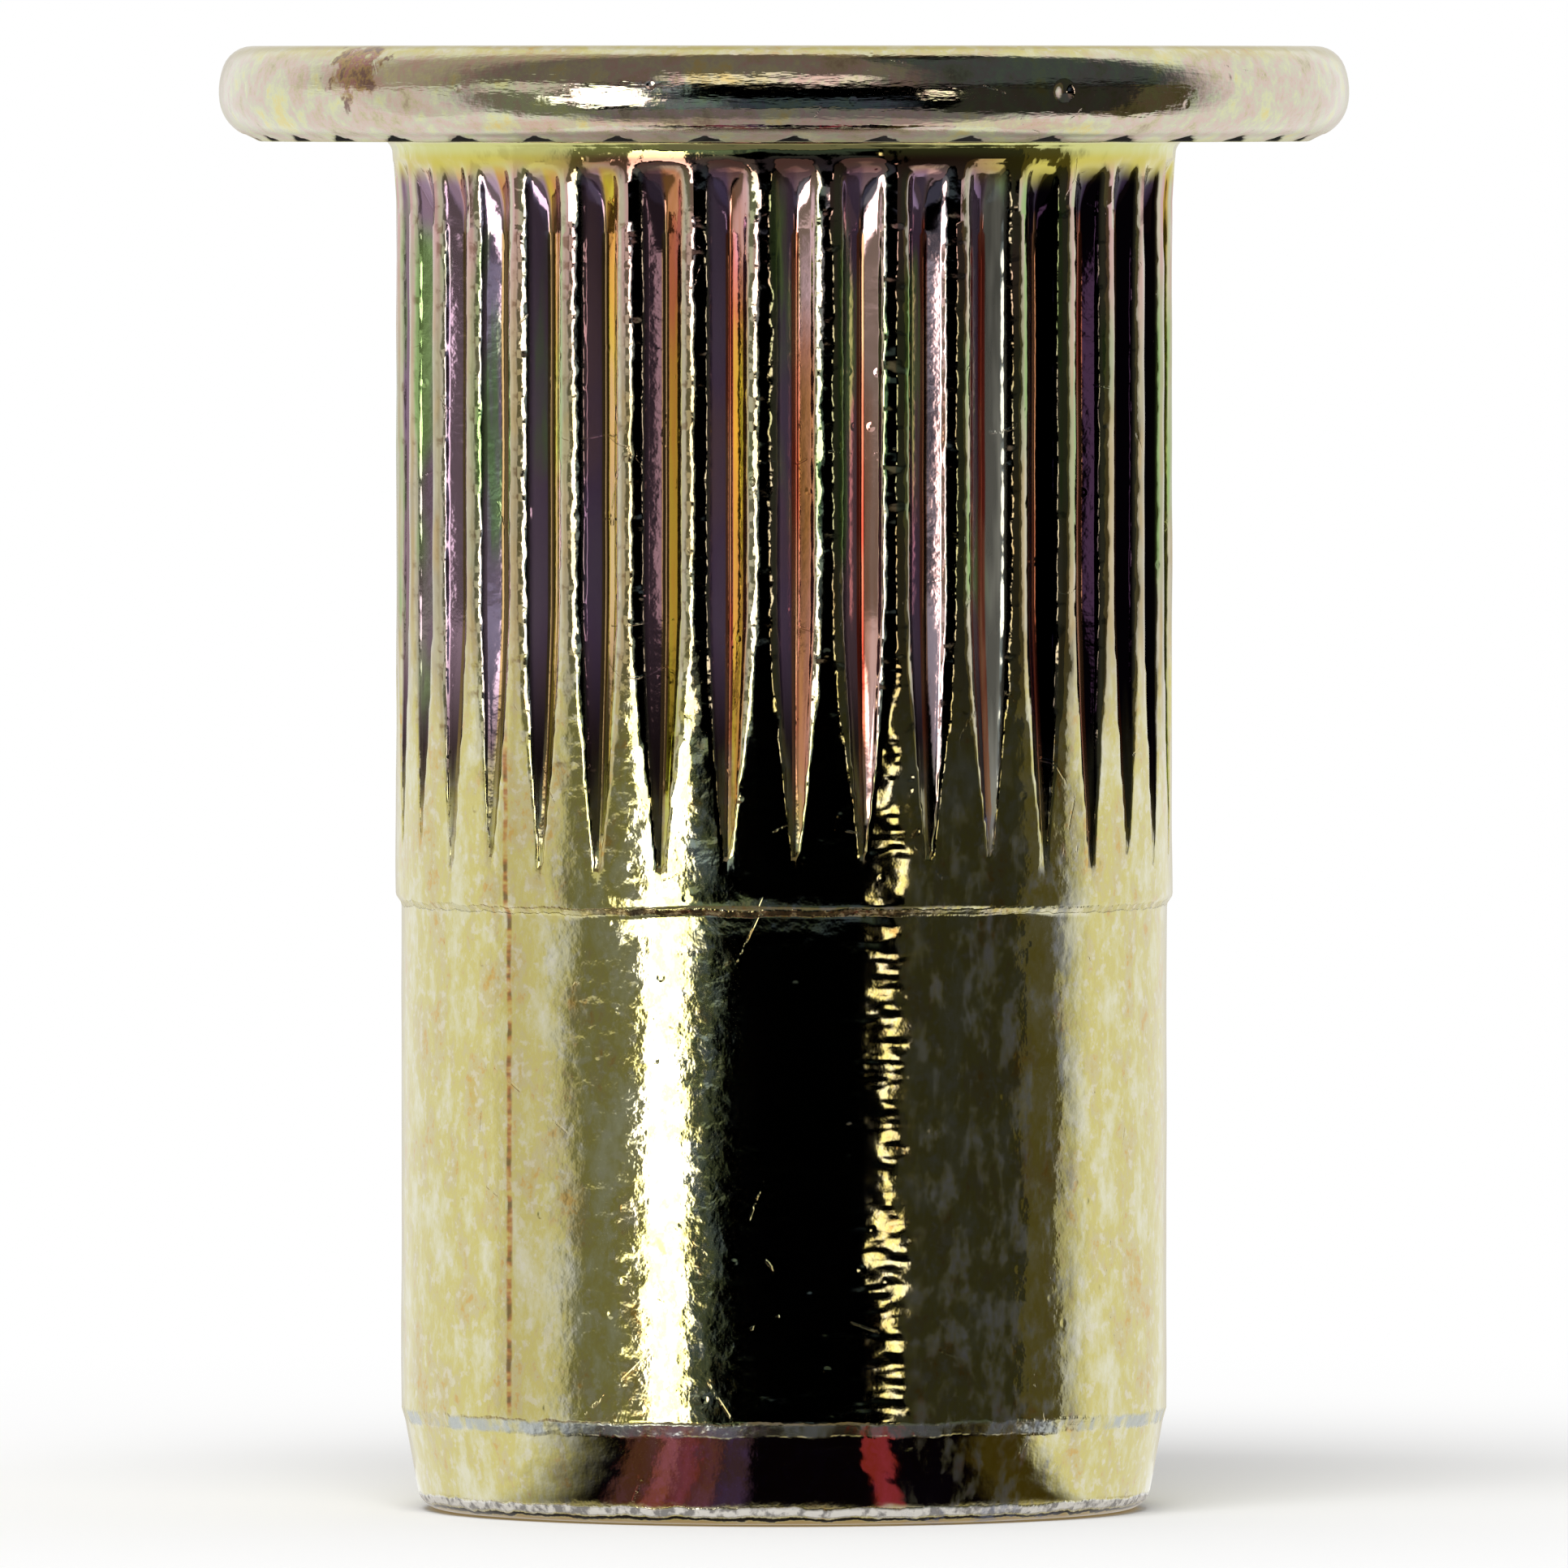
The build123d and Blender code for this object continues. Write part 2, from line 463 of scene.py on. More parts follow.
class Graph:
    """Short names for making shader nodes and joining them. Colours are display values, 0 to 255."""

    def __init__(self, tree):
        self.nodes = tree.nodes
        self.links = tree.links
        self.nodes.clear()

    def add(self, kind, inputs=None, **settings):
        node = self.nodes.new(kind)
        for name, value in settings.items():
            setattr(node, name, value)
        for name, value in (inputs or {}).items():
            if isinstance(value, bpy.types.NodeSocket):
                self.links.new(value, node.inputs[name])
            else:
                node.inputs[name].default_value = value
        return node

    def math(self, operation, first, second=0.0, third=0.0, clamp=False):
        inputs = {0: first, 1: second, 2: third}
        return self.add("ShaderNodeMath", inputs, operation=operation, use_clamp=clamp).outputs[0]

    def times(self, first, second):
        return self.math("MULTIPLY", first, second)

    def highest(self, first, second):
        return self.math("MAXIMUM", first, second)

    def without(self, mask):
        """1 where the mask is 0, and 0 where it is 1."""
        return self.math("SUBTRACT", 1.0, mask)

    def plus(self, value, mask, amount):
        """The value with this much added where the mask is 1."""
        return self.math("MULTIPLY_ADD", mask, amount, value)

    def blurred(self, value, noise, amount):
        """The value moved up or down by a noise that averages one half."""
        return self.plus(value, self.math("SUBTRACT", noise, 0.5), amount)

    def between(self, value, start, end, low=0.0, high=1.0):
        """Rises smoothly from low at start to high at end."""
        limits = {"From Min": start, "From Max": end, "To Min": low, "To Max": high}
        inputs = {"Value": value, **limits}
        return self.add("ShaderNodeMapRange", inputs, interpolation_type="SMOOTHSTEP").outputs[0]

    def below(self, value, start, end):
        """1 up to start, falling smoothly to 0 at end."""
        return self.without(self.between(value, start, end))

    def distance(self, value, center):
        return self.math("ABSOLUTE", self.math("SUBTRACT", value, center))

    def facing(self, turn, degrees, lobes=1.0):
        """The cosine of the angle from a direction, with this many lobes round the axis."""
        return self.math("COSINE", self.times(self.math("SUBTRACT", turn, radians(degrees)), lobes))

    def near(self, turn, degrees, inner, outer):
        """1 within inner degrees of a direction and 0 beyond outer."""
        away = self.distance(turn, radians(degrees))
        return self.below(away, radians(inner), radians(outer))

    def ramp(self, factor, *stops):
        node = self.add("ShaderNodeValToRGB", {"Fac": factor})
        elements = node.color_ramp.elements
        while len(elements) < len(stops):
            elements.new(0.5)
        for element, (position, color) in zip(elements, stops):
            element.position = position
            element.color = (*linear(color), 1.0)
        return node.outputs["Color"]

    def mix(self, factor, first, second):
        node = self.add("ShaderNodeMix", {0: factor}, data_type="RGBA", blend_type="MIX")
        for name, color in ((6, first), (7, second)):
            if isinstance(color, bpy.types.NodeSocket):
                self.links.new(color, node.inputs[name])
            else:
                node.inputs[name].default_value = (*linear(color), 1.0)
        return node.outputs[2]

    def scaled(self, vector, scale):
        return self.add("ShaderNodeMapping", {"Vector": vector, "Scale": scale}).outputs["Vector"]

    def noise(self, vector, scale, detail=2.0, roughness=0.5):
        """Noise at one scale, or stretched by a scale for each axis."""
        if isinstance(scale, tuple):
            vector = self.scaled(vector, scale)
            scale = 1.0
        inputs = {"Vector": vector, "Scale": scale, "Detail": detail, "Roughness": roughness}
        return self.add("ShaderNodeTexNoise", inputs).outputs["Fac"]

    def cells(self, vector, scale, feature="F1"):
        inputs = {"Vector": vector, "Scale": scale}
        return self.add("ShaderNodeTexVoronoi", inputs, feature=feature).outputs["Distance"]

    def vector(self, operation, *vectors):
        inputs = dict(enumerate(vectors))
        return self.add("ShaderNodeVectorMath", inputs, operation=operation).outputs["Value"]


# Single marks on the surface, in millimetres, or in degrees from the front with right positive.
# The veil is a hazy film on the right-hand wall of one groove.
spot_place = (-6.08, -5.30, 20.50)
spot_radius = 0.62
dent_place = (3.90, -6.98, 20.05)
dent_radius = 0.20
dent_depth = 0.055
# Where the painted reflection of a seam runs down the shank
seam_reflection_turn = -45.3
ripple_turn = 15.5
veil_turn = 33
fog_turn = 34

# Bands along the turned edges, from and to these heights
lip_band = (-0.10, 0.06)
# Painted shade: a dark line low on the foot's round, where it meets the floor
painted_contact_shade_band = (0.055, 0.10)
# The burred band on the foot's round, which also carries a painted white reflection
burr_and_reflection_band = (0.11, 0.24)
lead_edge_band = (1.24, 1.44)
sleeve_edge_band = (8.54, 8.63)


class Surface:
    """Where a point of the nut lies, and the noises and masks that several layers share."""

    def __init__(self, graph):
        self.graph = graph
        place = graph.add("ShaderNodeTexCoord").outputs["Object"]
        self.point = graph.scaled(place, (1 / MM, 1 / MM, 1 / MM))
        across, back, height = graph.add("ShaderNodeSeparateXYZ", {"Vector": self.point}).outputs
        self.height = height
        self.turn = graph.math("ARCTAN2", across, graph.times(back, -1.0))
        self.groove = graph.add("ShaderNodeAttribute", attribute_name="groove").outputs["Fac"]
        side = graph.add("ShaderNodeAttribute", attribute_name="side").outputs["Fac"]
        notch = graph.add("ShaderNodeAttribute", attribute_name="notch").outputs["Fac"]

        self.clouds = graph.noise(self.point, (1.5, 1.5, 0.9), 6.0, 0.68)
        self.fleck = graph.noise(self.point, 5.0, 3.0, 0.6)
        self.streaks = graph.noise(self.point, (2.6, 2.6, 0.22), 3.0, 0.6)
        self.patches = graph.noise(self.point, (0.9, 0.9, 0.25), 2.0)
        self.frayed = graph.noise(self.point, (2.4, 2.4, 1.0), 4.0, 0.6)

        self.on_cool = graph.below(side, -0.5, 0.5)
        self.veil = graph.times(graph.near(self.turn, veil_turn, 3, 5), graph.without(self.on_cool))
        self.sleeve = self.sleeve_mask()
        # Painted shade: the pressed serrations' notches, dark like the shade inside them
        self.painted_notch_shade = graph.between(notch, 0.0, 0.2)
        # The burred band on the foot's round: rough relief, and also a painted white reflection
        self.burr_and_painted_reflection = self.edge_band(burr_and_reflection_band)
        self.sleeve_edge = self.edge_band(sleeve_edge_band)
        lead_edge = self.edge_band(lead_edge_band)
        edges = graph.math("ADD", graph.math("ADD", self.burr_and_painted_reflection, lead_edge), self.sleeve_edge)
        self.edges = edges
        self.lead_edge = graph.times(lead_edge, graph.between(self.frayed, 0.40, 0.56, 0.1, 1.0))

    def sleeve_mask(self):
        """1 where the knurl's thicker film lies. It starts higher up inside the grooves."""
        graph = self.graph
        start = graph.blurred(self.height, self.streaks, 5.0)
        start = graph.plus(start, graph.between(self.groove, 0.10, 0.25), 2.2)
        end = graph.blurred(self.height, self.patches, 0.6)
        return graph.times(graph.between(start, 10.8, 13.2), graph.below(end, 18.7, 19.1))

    def edge_band(self, heights):
        """1 inside a frayed band between two heights."""
        low, high = heights
        frayed_height = self.graph.blurred(self.height, self.frayed, 0.16)
        away = self.graph.distance(frayed_height, (low + high) / 2)
        return self.graph.below(away, (high - low) * 0.3, (high - low) * 0.6)


def plain_film(graph, at):
    """Thin film on the plain body: pale yellow, clouded towards olive and grey, with amber spots."""
    film = graph.ramp(
        at.clouds, (0.34, (222, 219, 190)), (0.44, (212, 206, 158)), (0.51, (206, 196, 122)),
        (0.58, (204, 194, 148)), (0.68, (202, 184, 116)))
    film = graph.mix(graph.between(at.fleck, 0.54, 0.66, 0.0, 0.5), film, (224, 220, 206))
    cloudy = graph.between(at.clouds, 0.52, 0.60, 0.0, 0.7)
    return graph.mix(graph.times(graph.below(at.fleck, 0.36, 0.46), cloudy), film, (206, 166, 88))


def warm_film(graph, at, near_top):
    """Film on a groove's right-hand side: yellow where thin, then orange, and pink where thick."""
    thickness = graph.plus(0.56, graph.facing(at.turn, 25, 3.0), 0.29)
    thickness = graph.blurred(thickness, at.streaks, 0.45)
    thickness = graph.plus(thickness, near_top, 0.26)
    return graph.ramp(
        thickness, (0.20, (198, 200, 120)), (0.34, (196, 206, 58)), (0.46, (200, 182, 56)),
        (0.60, (196, 134, 76)), (0.72, (206, 142, 118)), (0.86, (226, 188, 190)))


def cool_film_and_painted_shade(graph, at):
    """Film on a groove's left-hand side: purple, pale far to the left, with painted shade at the lower
    tips.
    """
    film = graph.ramp(
        at.patches, (0.34, (150, 130, 156)), (0.48, (140, 112, 146)), (0.58, (156, 122, 134)),
        (0.70, (176, 140, 146)))
    past_left = graph.between(at.turn, radians(-54.5), radians(-52.5))
    pale = graph.mix(past_left, (150, 124, 144), (192, 164, 186))
    film = graph.mix(graph.between(graph.facing(at.turn, -62, 2.0), 0.55, 0.95), film, pale)
    film = graph.mix(graph.near(at.turn, -19, 3, 5), film, (108, 84, 98))
    # Painted shade: the lower tips darken, standing in for the dark they reflect
    return graph.mix(graph.below(at.height, 10.6, 12.8), film, (58, 44, 46))


def green_mask(graph, at):
    """Where the knurl's film is green: patches high up, but none just left of the front."""
    from_middle = graph.distance(at.height, 16.4)
    patch = graph.between(graph.plus(at.patches, from_middle, -0.06), 0.37, 0.50)
    green = graph.times(patch, graph.between(at.streaks, 0.40, 0.56))
    return graph.times(green, graph.below(graph.facing(at.turn, -20), 0.955, 0.985))


def knurl_film_and_painted_shade(graph, at):
    """Thicker film in the knurl, with its own colours on the crests, shoulders, walls and roots, and
    painted shade on the walls right of the front.
    """
    near_top = graph.between(graph.plus(at.height, at.patches, 2.0), 16.6, 19.4)
    green = green_mask(graph, at)
    speckle = graph.noise(at.point, (1.6, 1.6, 0.6), 3.0)
    crest = graph.ramp(
        speckle, (0.34, (194, 178, 142)), (0.46, (184, 164, 122)), (0.56, (176, 166, 138)),
        (0.68, (190, 182, 150)))
    crest = graph.mix(near_top, crest, (204, 166, 162))
    crest = graph.mix(graph.times(green, 0.6), crest, (164, 178, 136))
    shoulder = graph.mix(green, (198, 190, 166), (150, 180, 116))
    root = graph.ramp(at.streaks, (0.38, (150, 60, 44)), (0.56, (168, 120, 90)))
    root = graph.mix(graph.between(at.turn, radians(-22), radians(-4)), (122, 100, 66), root)

    cool = graph.mix(graph.times(green, 0.9), cool_film_and_painted_shade(graph, at), (156, 190, 118))
    veil_film = graph.mix(green, (160, 158, 146), (150, 196, 120))
    warm = graph.mix(at.veil, warm_film(graph, at, near_top), veil_film)
    wall = graph.mix(at.on_cool, warm, cool)
    # Painted shade: deep purple on the groove walls about 56 degrees right of the front, standing in
    # for the shade deep inside those grooves
    deep = graph.times(graph.between(graph.facing(at.turn, 56), 0.86, 0.96), graph.without(at.veil))
    wall = graph.mix(deep, wall, (46, 32, 54))
    wall = graph.mix(graph.between(at.groove, 0.93, 1.0), wall, root)
    film = graph.mix(graph.between(at.groove, 0.03, 0.14), crest, shoulder)
    return graph.mix(graph.between(at.groove, 0.14, 0.30), film, wall)


def neck_film_and_painted_light(graph, at):
    """Brown at the front of the neck, a painted shade; yellow at its sides and close under the seat,
    which at the front is a painted highlight.
    """
    from_front = graph.math("ABSOLUTE", at.turn)
    to_side = graph.between(from_front, radians(24), radians(42))
    # Painted shade: brown where the neck faces the front
    film = graph.mix(to_side, (150, 108, 92), (204, 192, 92))
    # Painted highlight at the front: yellow close under the seat
    return graph.mix(graph.between(at.height, 19.10, 19.26), film, (206, 206, 132))


def flange_film(graph, at, plain):
    """Beige mottled with pink round the rim, yellower on the flat face, with one brown spot."""
    mottle = graph.noise(at.point, 1.6, 7.0, 0.72)
    film = graph.ramp(
        mottle, (0.34, (222, 210, 146)), (0.42, (214, 216, 176)), (0.48, (206, 204, 180)),
        (0.54, (214, 190, 180)), (0.60, (200, 192, 158)), (0.68, (176, 158, 136)))
    film = graph.mix(graph.between(at.height, 20.45, 20.68), film, plain)
    spot_film = graph.ramp(
        at.fleck, (0.38, (134, 108, 100)), (0.47, (180, 156, 104)), (0.56, (168, 120, 122)),
        (0.66, (186, 186, 128)))
    away = graph.vector("DISTANCE", at.point, spot_place)
    away = graph.blurred(away, at.fleck, spot_radius * 2.0)
    spot = graph.below(away, spot_radius * 0.7, spot_radius)
    spot = graph.times(spot, graph.between(mottle, 0.30, 0.50, 0.35, 0.95))
    return graph.mix(spot, film, spot_film)


def painted_seam_reflection(graph, at, color):
    """Adds a painted reflection of a seam: a thin brown line down the shank, broken into dots."""
    dots = graph.noise(at.point, (1.0, 1.0, 3.2), 3.0, 0.6)
    wander = graph.blurred(at.turn, at.clouds, 0.03)
    line = graph.below(graph.distance(wander, radians(seam_reflection_turn)), 0.004, 0.013)
    line = graph.times(line, graph.between(dots, 0.36, 0.50, 0.2, 0.85))
    line = graph.times(line, graph.between(at.height, 1.4, 1.6))
    line = graph.times(line, graph.below(at.height, 10.6, 11.6))
    film = graph.ramp(dots, (0.42, (208, 166, 84)), (0.50, (176, 112, 66)), (0.58, (112, 84, 50)))
    return graph.mix(line, color, film)


def worn_edges_and_painted_light(graph, at, color):
    """Adds the turned edges' bands.

    The foot's round has a painted white reflection over its burred band, then a painted dark shade
    where it meets the floor, then a brown lip; the step above the lead is grey, and the step below
    the sleeve is darkened with painted gold glints where it faces the front.
    """
    # Painted reflection: a white streak on the foot's round, as the floor would show in it
    painted_reflection_film = graph.ramp(at.fleck, (0.40, (150, 148, 146)), (0.52, (238, 236, 230)))
    color = graph.mix(at.burr_and_painted_reflection, color, painted_reflection_film)
    color = graph.mix(graph.times(at.lead_edge, 0.7), color, (172, 182, 194))
    color = graph.mix(at.edge_band(lip_band), color, (186, 160, 104))
    # Painted shade: a dark line low on the foot's round, where it meets the floor
    color = graph.mix(at.edge_band(painted_contact_shade_band), color, (34, 28, 22))
    # Painted shade and highlights: the step below the sleeve is darkened where it faces the front,
    # with gold glints painted on it
    painted_glints_on_shade = graph.ramp(
        at.fleck, (0.42, (70, 52, 34)), (0.52, (132, 104, 62)), (0.60, (224, 202, 146)))
    front_glint_share = graph.between(graph.facing(at.turn, -4), 0.86, 0.95, 0.15, 0.9)
    return graph.mix(graph.times(at.sleeve_edge, front_glint_share), color, painted_glints_on_shade)


def relief(graph, at):
    """Height in millimetres of the marks that are too fine for the mesh."""
    lump_height = 0.030
    neck_lump_height = 0.022
    chatter_height = 0.010
    ripple_height = 0.017
    turning_height = 0.0085
    edge_height = 0.030
    grain_height = 0.0048
    calm_grain_height = 0.0024
    pit_depth = 0.0045
    scratch_depth = 0.003

    lumps = graph.noise(at.point, (3.2, 3.2, 4.0), 0.6, 0.4)
    chatter = graph.noise(at.point, (1.9, 1.9, 4.2), 0.6, 0.4)
    grain = graph.noise(at.point, (7.5, 7.5, 7.0), 2.0, 0.5)
    turning = graph.noise(at.point, (1.5, 1.5, 9.0), 3.0, 0.6)
    ragged = graph.noise(at.point, (5.0, 5.0, 7.0), 2.0)
    pits = graph.below(graph.cells(at.point, 1.7), 0.03, 0.13)
    scratches = graph.below(graph.cells(at.point, 0.33, "DISTANCE_TO_EDGE"), 0.002, 0.006)
    scratches = graph.times(scratches, graph.between(at.clouds, 0.56, 0.60))

    # Calmer in the grooves, on the flange, to the right and inside the chamber
    calm = graph.highest(
        graph.between(at.groove, 0.15, 0.45), graph.between(at.height, 19.2, 19.5))
    calm = graph.highest(calm, graph.between(at.turn, radians(38), radians(43), 0.0, 0.6))
    from_axis = graph.vector("LENGTH", graph.scaled(at.point, (1.0, 1.0, 0.0)))
    calm = graph.highest(calm, graph.below(from_axis, 4.6, 4.9))

    rippled = graph.near(at.turn, ripple_turn, 3.5, 7)
    chatter = graph.times(chatter, graph.plus(chatter_height, rippled, ripple_height))
    total = graph.times(chatter, graph.between(calm, 0.0, 1.0, 1.0, 0.06))
    on_rim = graph.between(at.height, 19.45, 19.6)
    total = graph.plus(total, graph.times(turning, on_rim), turning_height)
    total = graph.plus(total, graph.times(at.edges, ragged), edge_height)
    on_neck = graph.times(
        graph.between(at.height, 18.9, 19.05), graph.below(at.height, 19.28, 19.34))
    total = graph.plus(total, graph.times(on_neck, lumps), neck_lump_height)
    grain = graph.times(grain, graph.plus(1.0, rippled, -0.6))
    calm_grain = graph.between(calm, 0.0, 1.0, grain_height, calm_grain_height)
    total = graph.plus(total, grain, calm_grain)
    on_crest = graph.times(
        graph.between(at.height, 8.8, 13.0, 0.15, 1.0), graph.below(at.height, 18.9, 19.1))
    on_crest = graph.times(graph.below(at.groove, 0.12, 0.45), on_crest)
    total = graph.plus(total, graph.times(lumps, on_crest), lump_height)
    total = graph.plus(total, pits, -pit_depth)
    total = graph.plus(total, scratches, -scratch_depth)
    to_dent = graph.vector("DISTANCE", at.point, dent_place)
    return graph.plus(total, graph.between(to_dent, 0.0, dent_radius), dent_depth)


def grey_fog(graph, at):
    """A dull patch on the shank, right of the front."""
    fog = graph.between(graph.noise(at.point, (3.0, 3.0, 1.6), 5.0, 0.66), 0.48, 0.66)
    fog = graph.times(fog, graph.between(graph.facing(at.turn, fog_turn), 0.955, 0.985))
    return graph.times(fog, graph.below(at.height, 8.5, 11.5))


def yellow_zinc():
    """Zinc plate under a chromate film: bright metal, tinted by region, with relief and wear, and with
    some light and shade painted into its colour.
    """
    material = bpy.data.materials.new("yellow_zinc_steel")
    material.use_nodes = True
    graph = Graph(material.node_tree)
    at = Surface(graph)

    plain = plain_film(graph, at)
    color = graph.mix(graph.between(at.height, 18.2, 18.7), plain, neck_film_and_painted_light(graph, at))
    color = graph.mix(at.sleeve, color, knurl_film_and_painted_shade(graph, at))
    on_flange = graph.between(at.height, 19.3, 19.42)
    color = graph.mix(on_flange, color, flange_film(graph, at, plain))
    # Painted shade: near black in the serrations' notches, standing in for the shade inside them
    color = graph.mix(at.painted_notch_shade, color, (12, 10, 8))
    color = painted_seam_reflection(graph, at, color)
    color = worn_edges_and_painted_light(graph, at, color)
    fog = grey_fog(graph, at)
    color = graph.mix(graph.times(fog, 0.6), color, (120, 128, 158))

    # Polished, but duller in the fog, along the edges and on the seat's bevel
    bevel = graph.times(
        graph.between(at.height, 19.352, 19.36), graph.below(at.height, 19.46, 19.56))
    rough = graph.plus(0.07, fog, 0.16)
    rough = graph.plus(rough, at.edges, 0.18)
    rough = graph.plus(rough, bevel, 0.25)
    # The painted notch shade is made rough as well
    rough = graph.plus(rough, at.painted_notch_shade, 0.8)

    # Haze is the share of light that the film scatters in its own colour
    on_wall = graph.between(at.groove, 0.15, 0.45)
    haze = graph.times(graph.times(at.sleeve, at.on_cool), graph.times(on_wall, 0.16))
    veil = graph.times(graph.times(at.veil, at.sleeve), on_wall)
    veil = graph.times(veil, graph.between(at.streaks, 0.38, 0.60, 0.25, 0.62))
    haze = graph.math("ADD", veil, haze)
    # Haze also keeps the painted white reflection on the foot's round white
    for mask, amount in ((fog, 0.09), (bevel, 0.4), (at.burr_and_painted_reflection, 0.5), (at.lead_edge, 0.12)):
        haze = graph.plus(haze, mask, amount)
    # The painted notch shade also loses its metal, so it stays dark
    metal = graph.math("SUBTRACT", graph.without(haze), at.painted_notch_shade, clamp=True)

    height = relief(graph, at)
    bump = graph.add("ShaderNodeBump", {"Height": height, "Distance": MM, "Strength": 1.0})
    shader = graph.add("ShaderNodeBsdfPrincipled", {
        "Base Color": color, "Metallic": metal, "Roughness": rough, "Normal": bump.outputs["Normal"]})
    graph.add("ShaderNodeOutputMaterial", {"Surface": shader.outputs["BSDF"]})
    return material


# ---------------------------------------------------------------- studio

# Cards seen in the metal, as directions from the part: azimuth from the camera (right is
# positive), elevation, linear radiance, and how soft the edges are, all angles in degrees.
# Later cards lie over earlier ones.
cards = [
    # azimuth from, to, elevation from, to, radiance, softness across, softness up
    # Table top, dimmer behind the nut and darker in front
    (-185, 185, -90, -54, (0.92, 0.84, 0.76), 1, 10),
    (150, 185, -90, -58, (0.50, 0.43, 0.41), 60, 24),
    (-185, -150, -90, -58, (0.50, 0.43, 0.41), 60, 24),
    (-60, 64, -90, -60, (0.42, 0.36, 0.36), 24, 16),
    (-60, 64, -62, -32, (0.20, 0.185, 0.20), 24, 12),
    # Tent wall above on the left, then the dark side of the room towards the camera
    (-110, -50, 4, 95, (0.50, 0.42, 0.36), 40, 8),
    (-66, 20, -34, 95, (0.0, 0.0, 0.0), 46, 6),
    (-20, 93, -34, 95, (0.0, 0.0, 0.0), 30, 6),
    # Dim ceiling, seen in the flange's upper round
    (-80, 98, 76, 95, (0.34, 0.28, 0.22), 20, 16),
    (-64, 34, 12, 92, (0.20, 0.165, 0.15), 24, 6),
    (30, 90, 12, 66, (0.07, 0.085, 0.09), 16, 10),
    # White wall far left, and the dimmer gap between it and the key light
    (-96, -76, -40, 6, (0.80, 0.78, 0.74), 16, 6),
    (-66, -44, -46, 1.5, (0.22, 0.225, 0.17), 8, 2),
    (-66, -44, 1.5, 14, (0.75, 0.75, 0.66), 8, 2),
    # Faint lights right of the key, and over the table in front
    (-32, -20, -11, 0.5, (0.06, 0.08, 0.10), 6, 2),
    (-32, -20, 0.5, 10, (0.30, 0.38, 0.44), 6, 2),
    (-32, -10, -32, -11, (0.17, 0.23, 0.25), 8, 6),
    (-12, 26, -30, -12, (0.05, 0.07, 0.10), 10, 6),
    # Olive flags on the right
    (36, 76, -40, 8, (0.035, 0.036, 0.03), 2, 6),
    (76, 91, -40, 8, (0.10, 0.09, 0.05), 2, 6),
    # Key light with its lower wing, and the thin strip light
    (-43.0, -29.0, -24, 6, (4.4, 4.3, 4.0), 2.5, 3),
    (-49, -26.5, -14, -7, (4.0, 3.9, 3.6), 5, 4),
    (29, 34, -5, 2, (2.1, 1.85, 1.55), 2, 1.5),
    # Wall behind the nut
    (-190, -165, -60, 60, (0.75, 0.72, 0.66), 16, 20),
    (165, 190, -60, 60, (0.75, 0.72, 0.66), 16, 20),
]

# The table close round the foot, with millimetres from the axis in place of elevation
table_cards = [
    # Dark in front, with red and violet patches
    (-50, 20, 5.0, 9.6, (0.002, 0.001, 0.003), 30, 0.1),
    (-5, 58.5, 5.0, 9.6, (0.002, 0.001, 0.003), 14, 0.1),
    (-33, -26, 5.0, 9.6, (0.10, 0.04, 0.05), 4, 0.1),
    (-26, -21, 5.0, 9.6, (0.28, 0.085, 0.13), 3, 0.1),
    (-21, -17, 5.0, 9.6, (0.19, 0.045, 0.08), 3, 0.1),
    (-17, -12.5, 5.0, 9.6, (0.13, 0.047, 0.09), 3, 0.1),
    (-12.5, -7, 5.0, 9.6, (0.055, 0.03, 0.09), 3, 0.1),
    (16.5, 21.5, 5.0, 9.6, (0.27, 0.03, 0.05), 1.5, 0.1),
    (40, 56, 5.0, 9.6, (0.06, 0.045, 0.012), 8, 0.1),
    # A light ring right at the foot
    (-185, 185, 4.0, 5.7, (0.62, 0.58, 0.54), 1, 0.3),
]

# The narrow card close in front of the flange, with millimetres above the foot
near_cards = [
    (-21, 16, 25.2, 29.6, (1.20, 1.02, 0.98), 8, 1.2),
]

# Sizes of the studio, in metres
dome_radius = 0.45
near_card_radius = 0.028
floor_radius = 1.2
floor_height = -0.00002
table_glow_height = -0.00003
backdrop_start = 0.012
backdrop_end = 0.05

# Brightness of the tent where no card hangs, and of the near card's surroundings
tent_radiance = 1.0
near_card_surround = 0.12


def box_mask(value, start, end, soft):
    """1 between start and end, with smooth edges this wide."""
    rise = np.clip((value - start) / soft + 0.5, 0, 1)
    fall = np.clip((end - value) / soft + 0.5, 0, 1)
    return rise * rise * (3 - 2 * rise) * fall * fall * (3 - 2 * fall)


